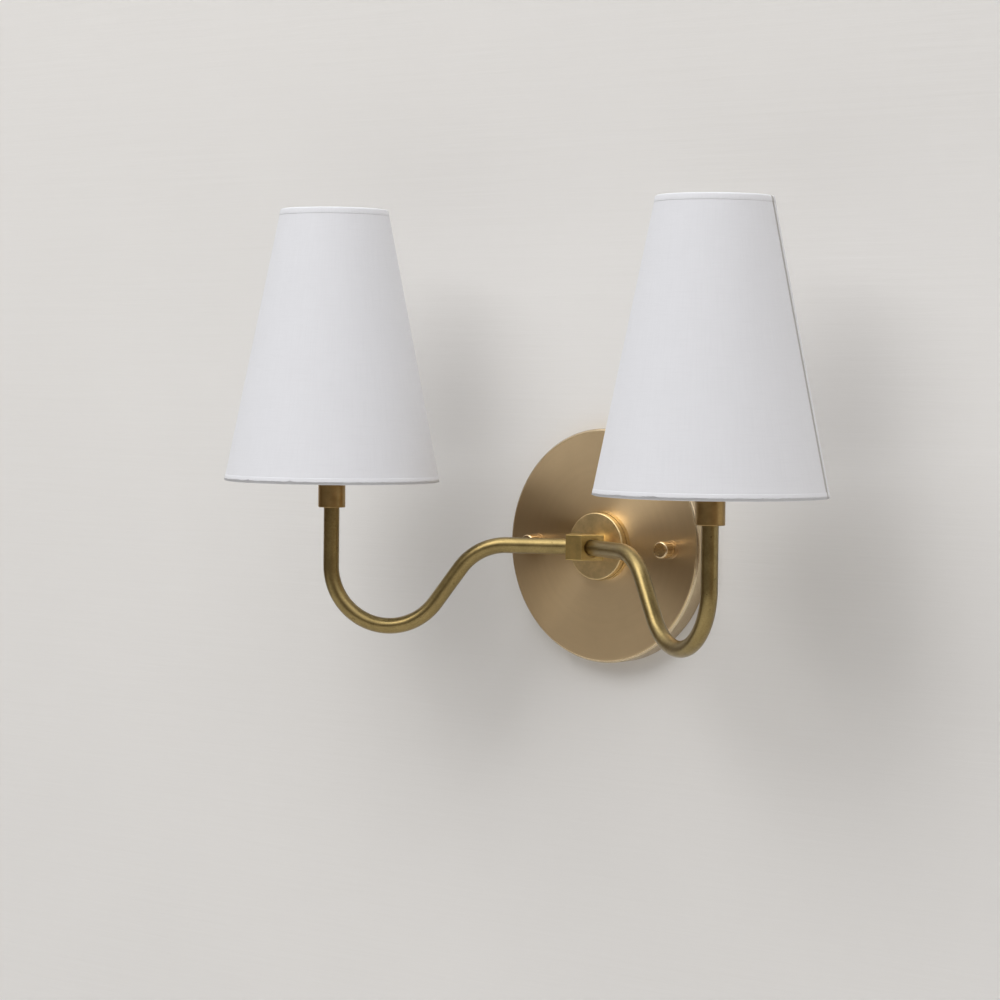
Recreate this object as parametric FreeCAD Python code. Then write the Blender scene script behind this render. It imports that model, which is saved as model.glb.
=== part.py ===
import FreeCAD, Part
import math
import os

from FreeCAD import Placement, Rotation, Vector

# A double arm wall sconce: a round brass backplate held to a wall box by two knurled knobs, a turned hub
# with a mitred cross block, two S-bent tube arms, and on each arm a collar, a lamp socket, a bulb and a
# tall tapered linen shade that clips over the bulb.
#
# Sizes are in millimetres. X runs along the wall, -Y points out of the wall into the room and Z is up.
# The origin is the centre of the backplate's rear rim, on the wall.

# Clearances
SEAT = 0.03  # radial, round a piece that is fixed in its seat
RUN = 0.07  # radial, round a piece that turns
EASE = 0.1  # between a turning or removable piece and the face that it rests on
LINEN_GAP = 0.1  # between the shade's skin, its rings and its trims

# Backplate, a spun pan open at the back
PLATE_R = 70.0
PLATE_DEPTH = 12.0
PLATE_WALL = 1.2
PLATE_EDGE_R = 2.2

# Mounting plate behind it, screwed to the wall box
MOUNT_R = 57.0
MOUNT_T = 1.6
MOUNT_BORE_R = 16.0
BOX_SCREW_SPACING = 88.9
BOX_SLOT_R = 2.5
BOX_SLOT_LENGTH = 14.0
GROUND_X = -26.0
GROUND_Z = -26.0
GROUND_SCREW_R = 2.0
GROUND_HEAD_R = 4.2
GROUND_HEAD_T = 2.6

# Studs and knobs
STUD_X = 49.5
STUD_R = 2.08
STUD_HOLE_PLAY = 0.4
STUD_NUT_AF = 8.0
STUD_NUT_T = 3.2
KNOB_R = 5.0
KNOB_LENGTH = 9.6
KNOB_FOOT_R = 4.0
KNOB_FOOT_T = 1.2
KNOB_GRIP_GROOVES = 18
KNOB_GROOVE_R = 0.45
KNOB_CROWN = 1.0
STUD_IN_KNOB = 7.0
KNOB_WASHER_T = 0.5
KNOB_WASHER_R = 5.6

# Hub and the hollow threaded nipple through it
HUB_R = 20.0
HUB_T = 3.6
HUB_FLANGE_R = 20.6
HUB_FLANGE_T = 2.8
HUB_GROOVE_T = 0.6
HUB_GROOVE_DEPTH = 0.9
HUB_EDGE_R = 0.7
NIPPLE_R = 4.8
NIPPLE_BORE_R = 3.3
NIPPLE_NUT_AF = 14.0
NIPPLE_NUT_T = 3.4
NIPPLE_TAIL = 1.6
WASHER_R = 8.6
WASHER_T = 0.9

# Cross block: its two side faces are square to the arms
ARM_SWING = 27.0  # degrees that each arm comes forward of the wall's plane
ARM_MEET = 29.0  # from the wall to the point where the two arm axes cross
BLOCK_REACH = 10.4  # from that point to a side face, along the arm
BLOCK_FACE = 15.2  # length of a side face in plan
BLOCK_HEIGHT = 15.0
BLOCK_EDGE_R = 0.5
BLOCK_NECK_R = 7.0
BLOCK_SEAT_DEPTH = 5.0  # how far a tube goes into the block
BLOCK_MOUTH_R = 5.8
BLOCK_MOUTH_DEPTH = 1.8
NIPPLE_IN_BLOCK = 10.2
SET_SCREW_R = 1.25
SET_SCREW_SUNK = 0.5

# Arms: straight, a bend down, straight, a U-bend up, straight
TUBE_R = 4.75
TUBE_WALL = 1.0
ARM_STRAIGHT = 47.4
BEND_DOWN_R = 34.6
BEND_DOWN_ANGLE = 54.2
ARM_SLOPE = 25.9
BEND_UP_R = 35.7

# Two leads in each arm
LEAD_R = 1.0
LEAD_SPREAD = 1.1
LEAD_TURN_R = 5.0
LEAD_TAIL = 1.0  # they stop this far from the wall

# Collar, socket
COLLAR_R = 8.2
COLLAR_FOOT = 20.4  # height of its lower face above the origin
COLLAR_HEIGHT = 21.6
COLLAR_EDGE = 0.4
TUBE_IN_COLLAR = 9.0
COLLAR_WEB = 2.0
NIPPLE_IN_SOCKET = 4.5
SOCKET_R = 9.8
SOCKET_HEIGHT = 30.0
SOCKET_THREAD = 5.0
SOCKET_ROOM_R = 6.0
SOCKET_ROOM = 6.0
SOCKET_FLOOR = 2.0
SOCKET_LIP_R = 1.0
SHELL_R = 6.8
SHELL_WALL = 0.5
SHELL_SHORT = 1.0
CONTACT_R = 2.6
CONTACT_T = 0.6
CONTACT_RISE = 1.4
RIVET_R = 0.9

# Bulb, a candelabra torpedo
BULB_CAP_R = 5.95
BULB_CAP_WALL = 0.4
BULB_CAP_HEIGHT = 15.5
BULB_TIP_R = 2.2
BULB_TIP_RISE = 2.4
BULB_R = 17.5
BULB_GLASS = 81.0  # length of the glass above its cap
BULB_GLASS_WALL = 0.8
BULB_NECK_IN_CAP = 4.0
BULB_BELLY = 0.39  # share of the glass's length at its widest
BULB_FLARE_R = 20.0  # hollow curve from the neck, the belly's own curve follows from it
BULB_NOSE_R = 5.0
STEM_R = 3.6
STEM_HEIGHT = 11.0
STEM_FLARE_T = 1.0  # its foot flares out to the glass neck
FILAMENTS = 4
FILAMENT_R = 0.7
FILAMENT_RING_R = 4.2
FILAMENT_LENGTH = 34.0
FILAMENT_DISC_RIM = 0.8  # how far the discs stand out past the filaments

# Clip that grips the bulb, with a swivel pin over it
CLIP_WIRE_R = 0.9
CLIP_GRIP_GAP = 0.25
CLIP_LOOP_R = 10.0
CLIP_LOOP_DROP = 6.0  # the loop's round end starts this far under the bulb's widest place
CLIP_LEG_TOP = 30.0  # its legs bend inwards this far above it
CLIP_LEG_SPREAD = 3.4
CLIP_BEND_R = 4.0
CLIP_LOOP_BEND_R = 8.4
CLIP_LEG_ROOT = 1.35  # half the spread of a loop's legs in the ferrule
FERRULE_R = 5.4
FERRULE_T = 4.0
FERRULE_OVER_BULB = 2.6
TONGUE_ROOT = 1.0  # how far the tongue is let into the ferrule
TONGUE_WIDTH = 6.0
TONGUE_T = 2.4
PIVOT_OVER_FERRULE = 6.6
PIN_R = 1.3
PIN_HEAD_R = 2.1
PIN_HEAD_T = 0.7
CHEEK_WIDTH = 6.4
CHEEK_T = 1.4
CHEEK_DROP = 3.2
YOKE_OVER_PIN = 5.0
YOKE_R = 7.0
YOKE_T = 1.6

# Shade
SHADE_FOOT = 36.5  # height of its lower edge above the origin
SHADE_HEIGHT = 162.0
SHADE_BOTTOM_R = 64.6
SHADE_TOP_R = 32.3
SHADE_SKIN = 0.8
SHADE_RING_R = 1.1
TRIM_T = 0.5
TRIM_HEIGHT = 3.0
SPIDER_ARMS = 3
SPIDER_TURN = 0.25  # where the first arm stands, as a share of the step between arms
SPIDER_ROD_R = 1.1

# Places that follow from the sizes above
PLATE_FRONT = PLATE_DEPTH
HUB_FRONT = PLATE_FRONT + HUB_FLANGE_T + HUB_GROOVE_T + HUB_T
ARM_COS = math.cos(math.radians(ARM_SWING))
ARM_SIN = math.sin(math.radians(ARM_SWING))
DOWN_COS = math.cos(math.radians(BEND_DOWN_ANGLE))
DOWN_SIN = math.sin(math.radians(BEND_DOWN_ANGLE))
UP_CENTRE_S = ARM_STRAIGHT + (BEND_DOWN_R + BEND_UP_R) * DOWN_SIN + ARM_SLOPE * DOWN_COS
UP_CENTRE_Z = -BEND_DOWN_R + (BEND_DOWN_R + BEND_UP_R) * DOWN_COS - ARM_SLOPE * DOWN_SIN
ARM_REACH = UP_CENTRE_S + BEND_UP_R
LAMP_X = ARM_REACH * ARM_COS
LAMP_Y = -(ARM_MEET + ARM_REACH * ARM_SIN)
TUBE_BORE_R = TUBE_R - TUBE_WALL
TUBE_INNER_END = BLOCK_REACH - BLOCK_SEAT_DEPTH
TUBE_TOP = COLLAR_FOOT + TUBE_IN_COLLAR
COLLAR_TOP = COLLAR_FOOT + COLLAR_HEIGHT
SOCKET_ROOM_FOOT = COLLAR_TOP + SOCKET_THREAD
SOCKET_FLOOR_FOOT = SOCKET_ROOM_FOOT + SOCKET_ROOM
SHELL_FOOT = SOCKET_FLOOR_FOOT + SOCKET_FLOOR
SOCKET_TOP = COLLAR_TOP + SOCKET_HEIGHT
CONTACT_TOP = SHELL_FOOT + CONTACT_T + CONTACT_RISE
BULB_FOOT = CONTACT_TOP + EASE
CAP_FOOT = BULB_FOOT + BULB_TIP_RISE
CAP_TOP = CAP_FOOT + BULB_CAP_HEIGHT
BULB_WIDEST = CAP_TOP + BULB_BELLY * BULB_GLASS
BULB_TOP = CAP_TOP + BULB_GLASS
FERRULE_FOOT = BULB_TOP + FERRULE_OVER_BULB
FERRULE_TOP = FERRULE_FOOT + FERRULE_T
PIVOT_Z = FERRULE_TOP + PIVOT_OVER_FERRULE
YOKE_FOOT = PIVOT_Z + YOKE_OVER_PIN
CHEEK_INNER = TONGUE_T / 2 + EASE
CHEEK_OUTER = CHEEK_INNER + CHEEK_T
SHADE_TOP = SHADE_FOOT + SHADE_HEIGHT
SHADE_TAPER = (SHADE_BOTTOM_R - SHADE_TOP_R) / SHADE_HEIGHT
SHADE_RING_SPAN = SHADE_RING_R * math.hypot(1, SHADE_TAPER)  # level reach of a ring's wire to the skin

UP = Vector(0, 0, 1)
OUT = Vector(0, -1, 0)
SIDES = {"left": -1, "right": 1}


def outline(start, *steps):
    """A closed face in (radius, height); a step is the end of a line, or an arc's (middle, end)."""
    edges = []
    here = Vector(start[0], 0, start[1])
    for step in list(steps) + [start]:
        if isinstance(step[0], tuple):
            middle, end = [Vector(r, 0, h) for r, h in step]
            edges.append(Part.Arc(here, middle, end).toShape())
        else:
            end = Vector(step[0], 0, step[1])
            edges.append(Part.LineSegment(here, end).toShape())
        here = end
    return Part.Face(Part.Wire(edges))


def turned(face, axis=UP):
    """The face spun about the origin's axis; heights run along the axis."""
    solid = face.revolve(Vector(0, 0, 0), UP, 360)
    solid.Placement = Placement(Vector(0, 0, 0), Rotation(UP, axis))
    return solid


def quarter(centre_r, centre_h, radius, sign_r, sign_h):
    """The middle point of a quarter round about a centre, towards the given signs."""
    reach = radius * math.sqrt(0.5)
    return (centre_r + sign_r * reach, centre_h + sign_h * reach)


def sleeve(outer_r, inner_r, foot, top, axis=UP):
    return turned(outline((inner_r, foot), (outer_r, foot), (outer_r, top), (inner_r, top)), axis)


def rod(radius, start, end):
    run = end - start
    return Part.makeCylinder(radius, run.Length, start, run)


def hexagon(across_flats, foot, top, bore_r, at):
    """A nut about an axis out of the wall."""
    corner_r = across_flats / math.sqrt(3)
    corners = [
        Vector(corner_r * math.cos(k * math.pi / 3), corner_r * math.sin(k * math.pi / 3), foot)
        for k in range(7)
    ]
    nut = Part.Face(Part.makePolygon(corners)).extrude(Vector(0, 0, top - foot))
    nut = nut.cut(Part.makeCylinder(bore_r, top - foot, Vector(0, 0, foot)))
    nut.Placement = Placement(at, Rotation(UP, OUT))
    return nut


def swept(edges, radius):
    """A round rod along tangent lines and arcs."""
    start = edges[0].valueAt(edges[0].FirstParameter)
    along = edges[0].tangentAt(edges[0].FirstParameter)
    ring = Part.Wire(Part.makeCircle(radius, start, along))
    return Part.Wire(edges).makePipeShell([ring], True, False)


def bent(points, radii):
    """Lines through the points, rounded at each inner point with its radius."""
    edges = []
    here = points[0]
    for before, corner, after, radius in zip(points, points[1:], points[2:], radii):
        back = (before - corner).normalize()
        ahead = (after - corner).normalize()
        half = back.getAngle(ahead) / 2
        towards = (back + ahead).normalize()
        leave = corner + back * (radius / math.tan(half))
        rejoin = corner + ahead * (radius / math.tan(half))
        middle = corner + towards * (radius / math.sin(half) - radius)
        if (leave - here).Length > 1e-6:
            edges.append(Part.LineSegment(here, leave).toShape())
        edges.append(Part.Arc(leave, middle, rejoin).toShape())
        here = rejoin
    edges.append(Part.LineSegment(here, points[-1]).toShape())
    return edges


def shade_r(height):
    """Outer radius of the linen at a height above the origin."""
    return SHADE_BOTTOM_R - (height - SHADE_FOOT) * SHADE_TAPER


def on_arm(side, s, z=0.0):
    """A point s along an arm's axis from where the two axes cross."""
    return Vector(side * s * ARM_COS, -(ARM_MEET + s * ARM_SIN), z)


def arm_edges(side, offset, start_s, top_z):
    """The arm's bent line, or one parallel to it, from start_s to the height top_z."""
    up_r = BEND_UP_R - offset
    down_r = BEND_DOWN_R + offset

    def down_point(angle):
        turn = math.radians(angle)
        return on_arm(side, ARM_STRAIGHT + down_r * math.sin(turn), down_r * math.cos(turn) - BEND_DOWN_R)

    def up_point(angle):
        turn = math.radians(angle)
        return on_arm(side, UP_CENTRE_S + up_r * math.cos(turn), UP_CENTRE_Z + up_r * math.sin(turn))

    slope_end = up_point(-90 - BEND_DOWN_ANGLE)
    return [
        Part.LineSegment(on_arm(side, start_s, offset), down_point(0)).toShape(),
        Part.Arc(down_point(0), down_point(BEND_DOWN_ANGLE / 2), down_point(BEND_DOWN_ANGLE)).toShape(),
        Part.LineSegment(down_point(BEND_DOWN_ANGLE), slope_end).toShape(),
        Part.Arc(slope_end, up_point(-45 - BEND_DOWN_ANGLE / 2), up_point(0)).toShape(),
        Part.LineSegment(up_point(0), on_arm(side, UP_CENTRE_S + up_r, top_z)).toShape(),
    ]


# Wall side


def backplate():
    flat_r = PLATE_R - PLATE_EDGE_R
    flat_h = PLATE_FRONT - PLATE_EDGE_R
    bore = NIPPLE_R + SEAT
    inner_edge_r = PLATE_EDGE_R - PLATE_WALL
    pan = turned(
        outline(
            (bore, PLATE_FRONT),
            (flat_r, PLATE_FRONT),
            (quarter(flat_r, flat_h, PLATE_EDGE_R, 1, 1), (PLATE_R, flat_h)),
            (PLATE_R, 0),
            (PLATE_R - PLATE_WALL, 0),
            (PLATE_R - PLATE_WALL, flat_h),
            (quarter(flat_r, flat_h, inner_edge_r, 1, 1), (flat_r, PLATE_FRONT - PLATE_WALL)),
            (bore, PLATE_FRONT - PLATE_WALL),
        ),
        OUT,
    )
    for side in SIDES.values():
        start = Vector(side * STUD_X, 0, 0)
        pan = pan.cut(rod(STUD_R + STUD_HOLE_PLAY, start, start + OUT * (PLATE_FRONT + 1)))
    return pan


def mounting_plate():
    disc = sleeve(MOUNT_R, MOUNT_BORE_R, 0, MOUNT_T, OUT)
    through = OUT * MOUNT_T
    holes = []
    for side in SIDES.values():
        start = Vector(side * STUD_X, 0, 0)
        holes.append(rod(STUD_R + SEAT, start, start + through))
        half_run = BOX_SLOT_LENGTH / 2 - BOX_SLOT_R
        middle = side * BOX_SCREW_SPACING / 2
        for end in (-half_run, half_run):
            start = Vector(0, 0, middle + end)
            holes.append(rod(BOX_SLOT_R, start, start + through))
        corner = Vector(-BOX_SLOT_R, -MOUNT_T, middle - half_run)
        holes.append(Part.makeBox(2 * BOX_SLOT_R, MOUNT_T, 2 * half_run, corner))
    start = Vector(GROUND_X, 0, GROUND_Z)
    holes.append(rod(GROUND_SCREW_R + SEAT, start, start + through))
    for hole in holes:
        disc = disc.cut(hole)
    return disc


def mounting_studs():
    """Threaded rods from the mounting plate into the knobs."""
    tip = PLATE_FRONT + KNOB_WASHER_T + STUD_IN_KNOB
    return [rod(STUD_R, Vector(side * STUD_X, 0, 0), Vector(side * STUD_X, -tip, 0)) for side in SIDES.values()]


def stud_nuts():
    return [
        hexagon(STUD_NUT_AF, MOUNT_T, MOUNT_T + STUD_NUT_T, STUD_R + SEAT, Vector(side * STUD_X, 0, 0))
        for side in SIDES.values()
    ]


def ground_screw():
    at = Vector(GROUND_X, 0, GROUND_Z)
    head = hexagon(2 * GROUND_HEAD_R, MOUNT_T, MOUNT_T + GROUND_HEAD_T, GROUND_SCREW_R / 2, at)
    shank = rod(GROUND_SCREW_R, at, at + OUT * (MOUNT_T + GROUND_HEAD_T / 2))
    return head.fuse(shank).removeSplitter()


def hub():
    bore = NIPPLE_R + SEAT
    groove_foot = PLATE_FRONT + HUB_FLANGE_T
    groove_top = groove_foot + HUB_GROOVE_T
    edge_r = HUB_R - HUB_EDGE_R
    edge_h = HUB_FRONT - HUB_EDGE_R
    return turned(
        outline(
            (bore, PLATE_FRONT),
            (HUB_FLANGE_R, PLATE_FRONT),
            (HUB_FLANGE_R, groove_foot),
            (HUB_R - HUB_GROOVE_DEPTH, groove_foot),
            (HUB_R - HUB_GROOVE_DEPTH, groove_top),
            (HUB_R, groove_top),
            (HUB_R, edge_h),
            (quarter(edge_r, edge_h, HUB_EDGE_R, 1, 1), (edge_r, HUB_FRONT)),
            (bore, HUB_FRONT),
        ),
        OUT,
    )


def nipple():
    foot = PLATE_FRONT - PLATE_WALL - WASHER_T - NIPPLE_NUT_T - NIPPLE_TAIL
    return sleeve(NIPPLE_R, NIPPLE_BORE_R, foot, HUB_FRONT + NIPPLE_IN_BLOCK, OUT)


def lock_washer():
    top = PLATE_FRONT - PLATE_WALL
    return sleeve(WASHER_R, NIPPLE_R + SEAT, top - WASHER_T, top, OUT)


def nipple_nut():
    top = PLATE_FRONT - PLATE_WALL - WASHER_T
    return hexagon(NIPPLE_NUT_AF, top - NIPPLE_NUT_T, top, NIPPLE_R + SEAT, Vector(0, 0, 0))


def cross_block():
    """A mitred block with a round neck, bored for the nipple and for both tubes."""
    half = BLOCK_FACE / 2
    front_x = BLOCK_REACH * ARM_COS - half * ARM_SIN
    back_x = BLOCK_REACH * ARM_COS + half * ARM_SIN
    middle_y = ARM_MEET + BLOCK_REACH * ARM_SIN
    front_y = -(middle_y + half * ARM_COS)
    back_y = -(middle_y - half * ARM_COS)
    plan = [(-front_x, front_y), (front_x, front_y), (back_x, back_y), (-back_x, back_y)]
    corners = [Vector(x, y, -BLOCK_HEIGHT / 2) for x, y in plan + plan[:1]]
    block = Part.Face(Part.makePolygon(corners)).extrude(Vector(0, 0, BLOCK_HEIGHT))
    block = block.makeFillet(BLOCK_EDGE_R, block.Edges)
    block = block.fuse(rod(BLOCK_NECK_R, OUT * HUB_FRONT, Vector(0, back_y - BLOCK_EDGE_R, 0)))
    nipple_front = HUB_FRONT + NIPPLE_IN_BLOCK
    block = block.cut(rod(NIPPLE_R + SEAT, OUT * HUB_FRONT, OUT * nipple_front))
    block = block.cut(rod(NIPPLE_BORE_R, OUT * HUB_FRONT, OUT * (ARM_MEET + NIPPLE_BORE_R)))
    for side in SIDES.values():
        face = on_arm(side, BLOCK_REACH)
        block = block.cut(rod(BLOCK_MOUTH_R, on_arm(side, BLOCK_REACH - BLOCK_MOUTH_DEPTH), face))
        block = block.cut(rod(TUBE_R + SEAT, on_arm(side, TUBE_INNER_END), face))
        block = block.cut(rod(NIPPLE_BORE_R, on_arm(side, 0), face))
        low = on_arm(side, set_screw_s(), -BLOCK_HEIGHT / 2)
        block = block.cut(rod(SET_SCREW_R + SEAT, low, on_arm(side, set_screw_s())))
    return block.removeSplitter()


def set_screw_s():
    """Half way along the plain part of a tube's seat."""
    return (TUBE_INNER_END + BLOCK_REACH - BLOCK_MOUTH_DEPTH) / 2


def arm_set_screws():
    """Headless screws under the block that lock the tubes."""
    s = set_screw_s()
    low = -BLOCK_HEIGHT / 2 + SET_SCREW_SUNK
    screws = []
    for side in SIDES.values():
        screw = rod(SET_SCREW_R, on_arm(side, s, low), on_arm(side, s))
        tube_room = rod(TUBE_R + SEAT, on_arm(side, 0), on_arm(side, ARM_STRAIGHT))
        screws.append(screw.cut(tube_room))
    return screws


def knob(side):
    """A knurled nut with a domed front and a round foot."""
    foot = PLATE_FRONT + KNOB_WASHER_T + EASE
    top = foot + KNOB_LENGTH
    grip_foot = foot + KNOB_FOOT_T
    bore = STUD_R + RUN
    depth = foot + STUD_IN_KNOB
    shape = turned(
        outline(
            (bore, foot),
            (KNOB_FOOT_R, foot),
            (KNOB_FOOT_R, grip_foot),
            (KNOB_R, grip_foot + KNOB_R - KNOB_FOOT_R),
            (KNOB_R, top - KNOB_CROWN),
            (quarter(KNOB_R - KNOB_CROWN, top - KNOB_CROWN, KNOB_CROWN, 1, 1), (KNOB_R - KNOB_CROWN, top)),
            (0, top),
            (0, depth),
            (bore, depth),
        ),
        OUT,
    )
    for k in range(KNOB_GRIP_GROOVES):
        angle = 2 * math.pi * k / KNOB_GRIP_GROOVES
        edge = Vector(KNOB_R * math.cos(angle), 0, KNOB_R * math.sin(angle))
        shape = shape.cut(rod(KNOB_GROOVE_R, edge + OUT * grip_foot, edge + OUT * (top - KNOB_CROWN)))
    shape.translate(Vector(side * STUD_X, 0, 0))
    return shape


def knob_washers():
    washers = []
    for side in SIDES.values():
        washer = sleeve(KNOB_WASHER_R, STUD_R + STUD_HOLE_PLAY, PLATE_FRONT, PLATE_FRONT + KNOB_WASHER_T, OUT)
        washer.translate(Vector(side * STUD_X, 0, 0))
        washers.append(washer)
    return washers


# Arms


def arm(side):
    outer = swept(arm_edges(side, 0, TUBE_INNER_END, TUBE_TOP), TUBE_R)
    return outer.cut(swept(arm_edges(side, 0, TUBE_INNER_END, TUBE_TOP), TUBE_BORE_R))


def arm_leads(side):
    """Two insulated leads from the socket's room, down the arm, and out of the nipple's rear end."""
    corner_s = LEAD_SPREAD / ARM_COS
    turn_half = math.radians(90 + ARM_SWING) / 2
    turn_s = corner_s + LEAD_TURN_R / math.tan(turn_half)
    leads = []
    for height in (-LEAD_SPREAD, LEAD_SPREAD):
        tail = Vector(side * LEAD_SPREAD, -LEAD_TAIL, height)
        points = [tail, on_arm(side, corner_s, height), on_arm(side, turn_s + 1, height)]
        turn = bent(points, [LEAD_TURN_R])[:2]
        top = SOCKET_ROOM_FOOT + SOCKET_ROOM / 2
        leads.append(swept(turn + arm_edges(side, height, turn_s, top), LEAD_R))
    return leads


def collar():
    web_top = TUBE_TOP + COLLAR_WEB
    seat = TUBE_R + SEAT
    thread = NIPPLE_R + SEAT
    return turned(
        outline(
            (seat, COLLAR_FOOT),
            (COLLAR_R - COLLAR_EDGE, COLLAR_FOOT),
            (COLLAR_R, COLLAR_FOOT + COLLAR_EDGE),
            (COLLAR_R, COLLAR_TOP - COLLAR_EDGE),
            (COLLAR_R - COLLAR_EDGE, COLLAR_TOP),
            (thread, COLLAR_TOP),
            (thread, web_top),
            (NIPPLE_BORE_R, web_top),
            (NIPPLE_BORE_R, TUBE_TOP),
            (seat, TUBE_TOP),
        )
    )


def socket_nipple():
    return sleeve(NIPPLE_R, NIPPLE_BORE_R, TUBE_TOP + COLLAR_WEB, COLLAR_TOP + NIPPLE_IN_SOCKET)


def socket_body():
    """A moulded holder: threaded foot, a room for the lead ends, a floor, and a well for the shell."""
    thread = NIPPLE_R + SEAT
    rivet = RIVET_R + SEAT
    well = SHELL_R + SEAT
    lip = SOCKET_LIP_R
    return turned(
        outline(
            (thread, COLLAR_TOP),
            (SOCKET_R - lip, COLLAR_TOP),
            (quarter(SOCKET_R - lip, COLLAR_TOP + lip, lip, 1, -1), (SOCKET_R, COLLAR_TOP + lip)),
            (SOCKET_R, SOCKET_TOP - lip),
            (quarter(SOCKET_R - lip, SOCKET_TOP - lip, lip, 1, 1), (SOCKET_R - lip, SOCKET_TOP)),
            (well, SOCKET_TOP),
            (well, SHELL_FOOT),
            (rivet, SHELL_FOOT),
            (rivet, SOCKET_FLOOR_FOOT),
            (SOCKET_ROOM_R, SOCKET_FLOOR_FOOT),
            (SOCKET_ROOM_R, SOCKET_ROOM_FOOT),
            (thread, SOCKET_ROOM_FOOT),
        )
    )


def socket_shell():
    return sleeve(SHELL_R, SHELL_R - SHELL_WALL, SHELL_FOOT, SOCKET_TOP - SHELL_SHORT)


def socket_contact():
    """The sprung centre contact, with its rivet through the holder's floor."""
    return turned(
        outline(
            (0, SOCKET_FLOOR_FOOT - CONTACT_T),
            (RIVET_R, SOCKET_FLOOR_FOOT - CONTACT_T),
            (RIVET_R, SHELL_FOOT),
            (CONTACT_R, SHELL_FOOT),
            (CONTACT_R, SHELL_FOOT + CONTACT_T),
            (CONTACT_R / 2, CONTACT_TOP),
            (0, CONTACT_TOP),
        )
    )


# Bulb


def bulb_cap():
    """The bulb's screw cap, closed below by its insulator."""
    wall = BULB_CAP_WALL
    inner = BULB_CAP_R - wall
    floor = CAP_FOOT + 2 * wall
    return turned(
        outline(
            (0, CAP_FOOT),
            (BULB_TIP_R, CAP_FOOT),
            (BULB_CAP_R, CAP_FOOT + BULB_TIP_RISE),
            (BULB_CAP_R, CAP_TOP),
            (inner, CAP_TOP),
            (inner, floor + BULB_TIP_RISE),
            (BULB_TIP_R, floor),
            (0, floor),
        )
    )


def bulb_contact():
    return turned(
        outline(
            (0, BULB_FOOT),
            (BULB_TIP_R / 2, BULB_FOOT),
            (quarter(BULB_TIP_R / 2, CAP_FOOT, BULB_TIP_R / 2, 1, -1), (BULB_TIP_R, CAP_FOOT)),
            (0, CAP_FOOT),
        )
    )


def glass_body(inset):
    """The torpedo's outer or inner form, inset by a wall: neck flare, belly, long upper curve and nose."""
    neck = BULB_CAP_R - BULB_CAP_WALL - SEAT - inset
    foot = CAP_TOP - BULB_NECK_IN_CAP
    belly = BULB_R - inset
    swell = belly - neck
    rise = BULB_WIDEST - CAP_TOP
    flare_r = BULB_FLARE_R + inset
    belly_r = (swell**2 + rise**2) / (2 * swell) - flare_r
    nose_r = BULB_NOSE_R - inset
    fall = BULB_TOP - BULB_WIDEST - BULB_NOSE_R
    upper_r = (belly**2 + fall**2 - nose_r**2) / (2 * (belly - nose_r))
    flare_turn = math.asin(rise / (flare_r + belly_r))
    upper_turn = math.asin(fall / (upper_r - nose_r))

    def on_flare(turn):
        return (neck + flare_r * (1 - math.cos(turn)), CAP_TOP + flare_r * math.sin(turn))

    def on_belly(turn):
        return (belly - belly_r * (1 - math.cos(turn)), BULB_WIDEST - belly_r * math.sin(turn))

    def on_upper(turn):
        return (belly - upper_r * (1 - math.cos(turn)), BULB_WIDEST + upper_r * math.sin(turn))

    nose_turn = (upper_turn + math.pi / 2) / 2
    nose_h = BULB_TOP - BULB_NOSE_R
    return turned(
        outline(
            (0, foot),
            (neck, foot),
            (neck, CAP_TOP),
            (on_flare(flare_turn / 2), on_flare(flare_turn)),
            (on_belly(flare_turn / 2), on_belly(0)),
            (on_upper(upper_turn / 2), on_upper(upper_turn)),
            (
                (nose_r * math.cos(nose_turn), nose_h + nose_r * math.sin(nose_turn)),
                (0, nose_h + nose_r),
            ),
        )
    )


def bulb_glass():
    return glass_body(0).cut(glass_body(BULB_GLASS_WALL))


def bulb_stem():
    """The glass stem in the neck, with upright filaments between two discs."""
    foot = CAP_TOP - BULB_NECK_IN_CAP
    top = CAP_TOP + STEM_HEIGHT
    disc = FILAMENT_RING_R + FILAMENT_R + FILAMENT_DISC_RIM
    flare = BULB_CAP_R - BULB_CAP_WALL - BULB_GLASS_WALL - 2 * SEAT
    low = sleeve(disc, 0, top - 2 * FILAMENT_R, top)
    stem = turned(
        outline(
            (0, foot),
            (flare, foot),
            (flare, foot + STEM_FLARE_T),
            (STEM_R, foot + 2 * STEM_FLARE_T),
            (STEM_R / 2, top - FILAMENT_R),
            (0, top - FILAMENT_R),
        )
    )
    high = sleeve(disc, 0, top + FILAMENT_LENGTH, top + FILAMENT_LENGTH + FILAMENT_R)
    stem = stem.fuse([low, high])
    for k in range(FILAMENTS):
        angle = 2 * math.pi * (k + 0.5) / FILAMENTS
        at = Vector(FILAMENT_RING_R * math.cos(angle), FILAMENT_RING_R * math.sin(angle), top - FILAMENT_R)
        stem = stem.fuse(rod(FILAMENT_R, at, at + UP * (FILAMENT_LENGTH + FILAMENT_R)))
    return stem.removeSplitter()


# Clip and shade


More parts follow.
